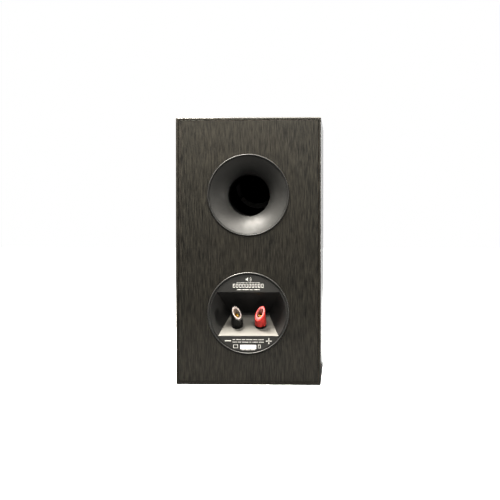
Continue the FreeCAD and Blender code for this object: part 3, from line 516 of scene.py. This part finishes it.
def dress_cad_parts():
    """Gives each CAD part the material of its slot, or the special one it is named for."""
    slots = {part["node"]: part["material_slot"] for part in frame["record"]["subparts"]}
    for node, part in frame["nodes"].items():
        material = MATERIALS[SPECIAL.get(node, slots[node])]
        for place in part.material_slots:
            place.material = material


# ---------------------------------------------------------------- mesh helpers

def mesh_object(name, points, faces, material, smooth=True):
    """A closed piece with its faces turned outwards."""
    mesh = bpy.data.meshes.new(name)
    mesh.from_pydata([tuple(p) for p in points], [], faces)
    work = bmesh.new()
    work.from_mesh(mesh)
    bmesh.ops.recalc_face_normals(work, faces=work.faces)
    work.to_mesh(mesh)
    work.free()
    for face in mesh.polygons:
        face.use_smooth = smooth
    obj = bpy.data.objects.new(name, mesh)
    bpy.context.scene.collection.objects.link(obj)
    mesh.materials.append(MATERIALS[material])
    return obj


def lathe(name, profile, height, material, steps=160):
    """Closed ring from a loop of (radius, depth) points, about the driver axis at this height."""
    points, faces = [], []
    count = len(profile)
    for step in range(steps):
        turn = 2 * math.pi * step / steps
        for radius, depth in profile:
            points.append((radius * math.sin(turn), FRONT + depth,
                           height + radius * math.cos(turn)))
    for step in range(steps):
        here, there = step * count, (step + 1) % steps * count
        for n in range(count):
            after = (n + 1) % count
            faces.append((here + n, here + after, there + after, there + n))
    return mesh_object(name, points, faces, material)


def flex(obj):
    """Bakes obj's placement into its mesh."""
    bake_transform(obj)


def shell(line, thickness):
    """Loop round an open line of (radius, depth) points, thickened towards greater depth."""
    back = [(radius, depth + thickness) for radius, depth in reversed(line)]
    return line + back


# ---------------------------------------------------------------- flexing pieces

def make_woofer_surround():
    """Half-roll rubber surround with a low rib on the flat outside the roll."""
    low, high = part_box("woofer_surround")
    outer = (high.x - low.x) / 2
    ledge = high.y - FRONT
    skin, inner = 0.7 * MM, 46.5 * MM
    roll, half = 55.2 * MM, 5.0 * MM
    # The rib's outline: distance beyond the roll and height, in millimetres.
    rib = ((0.9, 0), (1.4, 0.4), (2.1, 0.4), (2.6, 0))
    top = ledge - skin
    line = [(inner, top), (inner + 1.5 * MM, top), (roll - half - 1.2 * MM, top)]
    steps = 26
    for n in range(steps + 1):
        turn = math.pi * n / steps
        line.append((roll - half * math.cos(turn), top - (half - skin) * math.sin(turn)))
    line += [(roll + half + out * MM, top - rise * MM) for out, rise in rib]
    line.append((outer, top))
    ring = lathe("surround_roll", shell(line, skin * 0.9), WOOFER_Z, "surround_rubber")
    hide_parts("woofer_surround")
    flex(ring)


def make_spider():
    """Corrugated cloth disc that centres the coil."""
    low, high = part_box("woofer_spider")
    middle = (low.y + high.y) / 2 - FRONT
    outer, inner, folds, height, cloth = 47 * MM, 13.25 * MM, 8, 1.0 * MM, 0.4 * MM
    start, end = 16 * MM, 42 * MM
    line, steps = [(inner, middle)], 96
    for n in range(steps + 1):
        radius = start + (end - start) * n / steps
        line.append((radius, middle + height * math.sin(math.pi * folds * n / steps)))
    line.append((outer, middle))
    disc = lathe("spider_disc", shell(line, cloth), WOOFER_Z, "spider_cloth", 120)
    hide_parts("woofer_spider")
    flex(disc)


def make_tweeter_surround():
    """Small half-roll that carries the dome."""
    low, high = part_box("tweeter_surround")
    inner, roll_end, outer = 13.05 * MM, 15.2 * MM, (high.x - low.x) / 2
    skin, rise = 0.3 * MM, 1.0 * MM
    flat = high.y - FRONT - skin
    line, steps = [], 12
    for n in range(steps + 1):
        turn = math.pi * n / steps
        middle, half = (inner + roll_end) / 2, (roll_end - inner) / 2
        line.append((middle - half * math.cos(turn), flat - rise * math.sin(turn)))
    line.append((outer, flat))
    ring = lathe("dome_surround_roll", shell(line, skin), TWEETER_Z, "dome_silk", 120)
    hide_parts("tweeter_surround")
    flex(ring)


def curve_points(controls, count):
    """Points along a smooth curve through the controls (Catmull-Rom)."""
    ends = [controls[0] * 2 - controls[1]] + controls + [controls[-1] * 2 - controls[-2]]
    points = []
    for a, b, c, d in zip(ends, ends[1:], ends[2:], ends[3:]):
        for n in range(count):
            t = n / count
            points.append(0.5 * (2 * b + (c - a) * t + (2 * a - 5 * b + 4 * c - d) * t ** 2
                                 + (3 * b - a - 3 * c + d) * t ** 3))
    return points + [controls[-1]]


def add_strand(points, faces, path, phase):
    """One strand of a twisted lead along a path, starting its turns at a phase."""
    strand, twist_radius, turns, sides = 0.24 * MM, 0.24 * MM, 9, 6
    across = Vector((1, 0, 0))
    rings = []
    for n, centre in enumerate(path):
        before, after = path[max(n - 1, 0)], path[min(n + 1, len(path) - 1)]
        second = (after - before).normalized().cross(across).normalized()
        turn = 2 * math.pi * (turns * n / len(path) + phase)
        offset = across * math.cos(turn) + second * math.sin(turn)
        ring = []
        for corner in range(sides):
            angle = 2 * math.pi * corner / sides
            out = across * math.cos(angle) + second * math.sin(angle)
            ring.append(len(points))
            points.append(centre + offset * twist_radius + out * strand)
        rings.append(ring)
    for ring, following in zip(rings, rings[1:]):
        for n in range(sides):
            after = (n + 1) % sides
            faces.append((ring[n], ring[after], following[after], following[n]))
    faces += [tuple(reversed(rings[0])), tuple(rings[-1])]


def make_tinsel_leads():
    """Two braided leads, each of three strands twisted together, from the cone to the strip."""
    strands, steps = 3, 24
    # Sideways, depth and height of each bend from the woofer's centre, in millimetres.
    bends = ((6.0, 19.0, -24.6), (6.5, 24.5, -32.0), (7.4, 27.6, -45.0), (8.0, 29.8, -61.0))
    points, faces = [], []
    for side in (-1, 1):
        controls = [Vector((side * x * MM, FRONT + y * MM, WOOFER_Z + z * MM))
                    for x, y, z in bends]
        path = curve_points(controls, steps)
        for strand in range(strands):
            add_strand(points, faces, path, strand / strands)
    leads = mesh_object("tinsel_braids", points, faces, "tinsel_braid")
    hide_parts("woofer_tinsel_leads")
    flex(leads)


# ---------------------------------------------------------------- foam and print

def foam_pad(name, corner, along, up, out, size, material):
    """Convoluted foam: flat against its board, with rows of soft peaks facing into the cabinet."""
    length, width, thickness = size
    pitch, base, cell = 19 * MM, 0.45, 2.4 * MM
    soft_edge, gap_behind, gap_in_front = 2.5 * MM, 0.2 * MM, 0.4 * MM
    columns, rows = round(length / cell), round(width / cell)
    points, faces = [], []
    for row in range(rows + 1):
        for column in range(columns + 1):
            u, v = column / columns * length, row / rows * width
            wave = math.cos(2 * math.pi * u / pitch) * math.cos(2 * math.pi * v / pitch)
            edge = min(u, v, length - u, width - v)
            soft = min(1, edge / soft_edge) ** 0.5
            height = thickness * (base + (1 - base) * (0.5 + 0.5 * wave) * soft) - gap_in_front
            points.append(corner + along * u + up * v + out * height)
    top_count = len(points)
    for row in range(rows + 1):
        for column in range(columns + 1):
            u, v = column / columns * length, row / rows * width
            points.append(corner + along * u + up * v + out * gap_behind)
    stride = columns + 1
    for row in range(rows):
        for column in range(columns):
            a = row * stride + column
            quad = (a, a + 1, a + 1 + stride, a + stride)
            faces.append(quad)
            faces.append(tuple(n + top_count for n in reversed(quad)))
    rim = list(range(columns))
    rim += [row * stride + columns for row in range(rows)]
    rim += [rows * stride + column for column in range(columns, 0, -1)]
    rim += [row * stride for row in range(rows, 0, -1)]
    for here, there in zip(rim, rim[1:] + rim[:1]):
        faces.append((there, here, here + top_count, there + top_count))
    pad = mesh_object(name, points, faces, material)
    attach(pad, "cabinet")
    return pad


def make_damping_foam():
    """One pad on each side board and one under the top board."""
    low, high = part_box("side_damping_pads")
    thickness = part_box("top_damping_pad")[1].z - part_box("top_damping_pad")[0].z
    x, y, z = Vector((1, 0, 0)), Vector((0, 1, 0)), Vector((0, 0, 1))
    size = (high.y - low.y, high.z - low.z, thickness)
    left = foam_pad("side_foam_left", low, y, z, x, size, "damping_foam")
    corner = Vector((high.x, low.y, low.z))
    right = foam_pad("side_foam_right", corner, y, z, -x, size, "damping_foam")
    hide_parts("side_damping_pads")
    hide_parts("side_damping_pads")
    low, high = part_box("top_damping_pad")
    corner = Vector((low.x, low.y, high.z))
    size = (high.x - low.x, high.y - low.y, thickness)
    top = foam_pad("top_foam", corner, x, y, -z, size, "damping_foam")
    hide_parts("top_damping_pad")


class Print:
    """White marks on the terminal cup's face, each a thin plate. Heights are from the cup's
    centre, and x is measured to the left as seen from behind, in millimetres."""

    LIFT, THICKNESS = 0.01, 0.06

    def __init__(self):
        self.points, self.faces = [], []

    def polygon(self, corners):
        """A plate with this outline."""
        start, count = len(self.points), len(corners)
        for y in (REAR + self.LIFT * MM, REAR + self.THICKNESS * MM):
            self.points += [(x * MM, y, CUP_Z + z * MM) for x, z in corners]
        front = list(range(start + count, start + 2 * count))
        self.faces.append(tuple(front))
        self.faces.append(tuple(reversed(range(start, start + count))))
        for n in range(count):
            after = (n + 1) % count
            self.faces.append((start + n, start + after, front[after], front[n]))

    def bar(self, x, z, width, height):
        """Filled rectangle."""
        half, tall = width / 2, height / 2
        self.polygon([(x - half, z - tall), (x + half, z - tall), (x + half, z + tall),
                      (x - half, z + tall)])

    def frame(self, x, z, width, height, stroke):
        """Outline of a rectangle."""
        for side in (-1, 1):
            self.bar(x, z + side * (height - stroke) / 2, width, stroke)
            self.bar(x + side * (width - stroke) / 2, z, stroke, height - 2 * stroke)

    def dashes(self, z, half_width, height, words):
        """A line of plain dashes in place of small print, one dash per word."""
        gap = 0.9
        total = sum(words)
        room = 2 * half_width - gap * (len(words) - 1)
        x = half_width
        for word in words:
            width = room * word / total
            self.bar(x - width / 2, z, width, height)
            x -= width + gap

    def arc(self, x, z, radius, stroke, start, end):
        """Bow between two angles in degrees."""
        steps = 8
        inner, outer = [], []
        for n in range(steps + 1):
            turn = math.radians(start + (end - start) * n / steps)
            inner.append((x + radius * math.cos(turn), z + radius * math.sin(turn)))
            outer.append((x + (radius + stroke) * math.cos(turn),
                          z + (radius + stroke) * math.sin(turn)))
        for n in range(steps):
            self.polygon([inner[n], inner[n + 1], outer[n + 1], outer[n]])

    def build(self):
        return mesh_object("cup_print", self.points, self.faces, "white_ink", smooth=False)


def make_cup_print():
    """Generic marks only: polarity signs, a plain pictogram, outlined blocks and dashes."""
    ink = Print()
    ink.polygon([(3.2, 41.8), (3.2, 44.2), (1.8, 44.2), (0.0, 45.8), (0.0, 40.2), (1.8, 41.8)])
    ink.arc(-0.2, 43.0, 2.0, 0.6, 130, 230)
    ink.arc(-0.2, 43.0, 3.4, 0.6, 130, 230)
    ink.bar(0, 39.0, 30.0, 0.5)
    blocks, block_width, pitch = 10, 3.0, 4.0
    for n in range(blocks):
        ink.frame((n - (blocks - 1) / 2) * pitch, 35.0, block_width, 5.2, 0.85)
    ink.dashes(30.0, 14.6, 1.1, (5, 7, 3, 6))
    minus, plus, minus_length, plus_length, stroke = (25.9, -35.0), (-26.3, -35.2), 8.0, 7.8, 1.5
    ink.bar(*minus, minus_length, stroke)
    ink.bar(*plus, plus_length, stroke)
    ink.bar(*plus, stroke, plus_length)
    ink.dashes(-33.5, 20.0, 1.15, (4, 7, 5, 9, 6, 8))
    ink.dashes(-36.6, 20.0, 1.15, (6, 5, 9, 3, 8, 7))
    ink.frame(16.0, -42.1, 6.4, 4.8, 0.9)
    ink.frame(-14.2, -42.1, 3.6, 4.8, 0.9)
    ink.dashes(-46.6, 8.4, 0.8, (4, 6, 5))
    marks = ink.build()
    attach(marks, "cabinet")


# ---------------------------------------------------------------- stage

def fade_along_y(tree, vector, low, high, at_low, at_high):
    """A value that goes from at_low to at_high as the vector's Y goes from low to high."""
    parts = tree.nodes.new("ShaderNodeSeparateXYZ")
    tree.links.new(vector, parts.inputs[0])
    return map_range(tree, parts.outputs["Y"], low, high, at_low, at_high)


def sum_of_shaders(tree, first, second):
    total = tree.nodes.new("ShaderNodeAddShader")
    tree.links.new(first, total.inputs[0])
    tree.links.new(second, total.inputs[1])
    return total.outputs[0]


def diffuse(tree, grey):
    shader = tree.nodes.new("ShaderNodeBsdfDiffuse")
    shader.inputs["Color"].default_value = (grey, grey, grey, 1)
    return shader.outputs[0]


def floor_material():
    """White to the camera. To other rays it's dull, but for a glow in front of the cabinet."""
    glow_start, glow_end, glow_strength = -0.14, -0.2, 0.9
    white, dull, self_light = 0.8, 0.12, 0.8
    material = bpy.data.materials.new("pale_floor")
    material.use_nodes = True
    tree = material.node_tree
    tree.nodes.clear()
    glow = tree.nodes.new("ShaderNodeEmission")
    glow.inputs["Strength"].default_value = self_light
    seen = sum_of_shaders(tree, diffuse(tree, white), glow.outputs[0])
    place = tree.nodes.new("ShaderNodeTexCoord").outputs["Object"]
    front_glow = tree.nodes.new("ShaderNodeEmission")
    fade = fade_along_y(tree, place, glow_end, glow_start, glow_strength, 0)
    tree.links.new(fade, front_glow.inputs["Strength"])
    bounce = sum_of_shaders(tree, diffuse(tree, dull), front_glow.outputs[0])
    choose = tree.nodes.new("ShaderNodeMixShader")
    path = tree.nodes.new("ShaderNodeLightPath")
    tree.links.new(path.outputs["Is Camera Ray"], choose.inputs[0])
    tree.links.new(bounce, choose.inputs[1])
    tree.links.new(seen, choose.inputs[2])
    output = tree.nodes.new("ShaderNodeOutputMaterial")
    tree.links.new(choose.outputs[0], output.inputs["Surface"])
    return material


def make_floor():
    """Pale floor, which gives the cabinet's rear little light though the camera sees it bright."""
    size, drop = 8.0, 0.5 * MM
    mesh = bpy.data.meshes.new("floor")
    corners = [(-size, -size), (size, -size), (size, size), (-size, size)]
    mesh.from_pydata([(x, y, -drop) for x, y in corners], [], [(0, 1, 2, 3)])
    floor = bpy.data.objects.new("floor", mesh)
    bpy.context.scene.collection.objects.link(floor)
    mesh.materials.append(floor_material())


def make_world():
    """Surroundings that the camera sees white: they light the cabinet's front but not its rear."""
    front_direction, rear_direction = -0.25, 0.35
    front_strength, rear_strength = 0.9, 0.01
    world = bpy.data.worlds.new("studio")
    bpy.context.scene.world = world
    world.use_nodes = True
    tree = world.node_tree
    background = tree.nodes["Background"]
    direction = tree.nodes.new("ShaderNodeTexCoord").outputs["Generated"]
    fade = fade_along_y(tree, direction, front_direction, rear_direction,
                        front_strength, rear_strength)
    path = tree.nodes.new("ShaderNodeLightPath")
    seen = tree.nodes.new("ShaderNodeMath")
    seen.operation = "MAXIMUM"
    tree.links.new(path.outputs["Is Camera Ray"], seen.inputs[0])
    tree.links.new(fade, seen.inputs[1])
    tree.links.new(seen.outputs[0], background.inputs["Strength"])
    background.inputs["Color"].default_value = (1, 1, 1, 1)


def area_light(name, position, target, size, power, colour):
    """Soft box at a position, turned to a target, that the camera doesn't see. Power in watts."""
    data = bpy.data.lights.new(name, "AREA")
    data.shape = "RECTANGLE"
    data.size, data.size_y = size
    data.energy = power
    data.color = colour
    light = bpy.data.objects.new(name, data)
    light.location = position
    light.rotation_euler = (Vector(target) - Vector(position)).to_track_quat("-Z", "Y").to_euler()
    light.visible_camera = False
    bpy.context.scene.collection.objects.link(light)


def make_lights():
    """Two soft boxes above the rear face, a strip on each side of it, and a fill in front."""
    warm, white = (1.0, 0.97, 0.92), (1.0, 1.0, 1.0)
    area_light("overhead", (0.27, REAR + 0.13, 0.98), (0, REAR, 0.17), (0.5, 0.2), 68, warm)
    area_light("fore", (-0.1, REAR + 0.8, 0.9), (0, REAR, 0.14), (0.7, 0.3), 34, warm)
    area_light("left_strip", (0.9, REAR + 0.25, 0.6), (0, REAR, 0.18), (0.3, 0.5), 3.5, warm)
    area_light("right_strip", (-1.1, REAR + 0.28, 0.26), (0, REAR, 0.24), (0.1, 0.3), 9, warm)
    area_light("front_fill", (-0.9, -1.6, 1.2), (0, 0, 0.16), (1.0, 0.8), 85, white)


def make_camera():
    """Long lens behind the cabinet, a little above its middle and off to the right."""
    shift, distance, height = -116.4 * MM, 1.9, 214 * MM
    aim_shift, aim_height = -2.3 * MM, HEIGHT / 2 + 1.6 * MM
    data = bpy.data.cameras.new("camera")
    data.sensor_width = 36
    data.lens = 108.1
    data.clip_start = 0.05
    camera = bpy.data.objects.new("camera", data)
    camera.location = (shift, REAR + distance, height)
    target = Vector((aim_shift, REAR, aim_height))
    camera.rotation_euler = (target - camera.location).to_track_quat("-Z", "Y").to_euler()
    bpy.context.scene.collection.objects.link(camera)
    bpy.context.scene.camera = camera


def main():
    """Builds the stage and the looks."""
    bpy.context.scene.view_settings.view_transform = "Standard"
    bpy.context.scene.view_settings.gamma = CONTRAST_GAMMA
    make_camera()
    make_lights()
    make_world()
    make_floor()
    dress_cad_parts()
    make_woofer_surround()
    make_spider()
    make_tweeter_surround()
    make_tinsel_leads()
    make_damping_foam()
    make_cup_print()


main()
